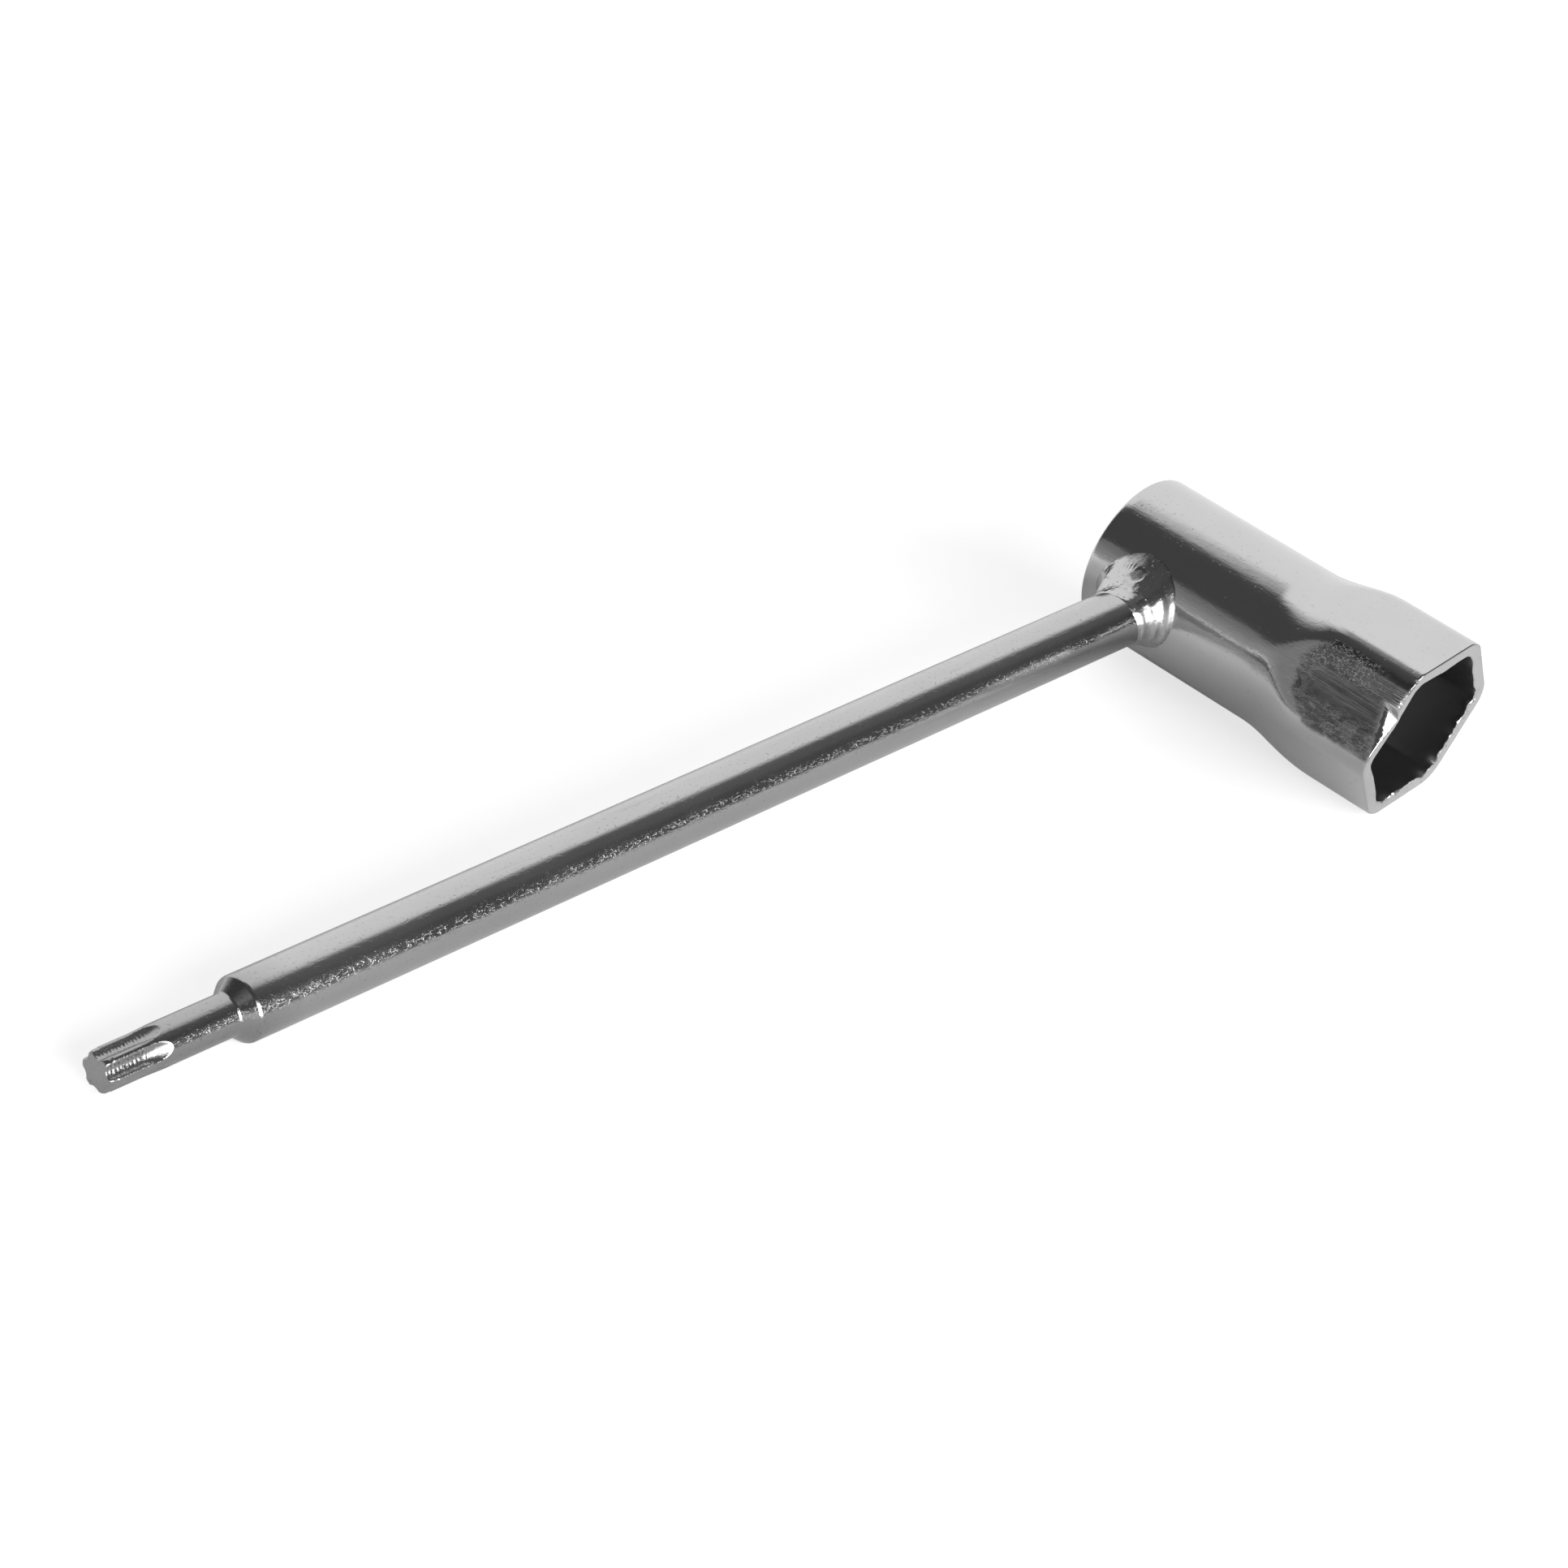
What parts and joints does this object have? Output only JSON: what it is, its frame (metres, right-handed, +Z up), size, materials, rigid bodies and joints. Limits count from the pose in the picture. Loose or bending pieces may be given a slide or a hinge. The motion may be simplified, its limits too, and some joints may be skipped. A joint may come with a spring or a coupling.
{
  "type": "spark plug wrench",
  "caption": "L-shaped plated steel wrench: a tubular hexagon socket for spark plugs, welded square to a round bar that ends in a six-lobe star driver tip.",
  "frame": {"origin": "the point where the bar axis meets the socket axis, inside the socket tube", "axes": "+Z up with the wrench lying on a bench, +Y along the socket axis towards its plain rear end (the hexagon mouth faces -Y), and the bar runs towards -X, sloping down 3 degrees to its tip"},
  "size_m": [0.1963, 0.0504, 0.0254],
  "materials": {
    "bar_plating": "bright plated drawn bar",
    "socket_plating": "bright plated tube with rough pressed flats",
    "weld_plating": "bright plated weld metal"
  },
  "bodies": {
    "root": {"drive_rod": "bar_plating", "hex_socket": "socket_plating", "weld_bead": "weld_plating"}
  },
  "joints": []
}
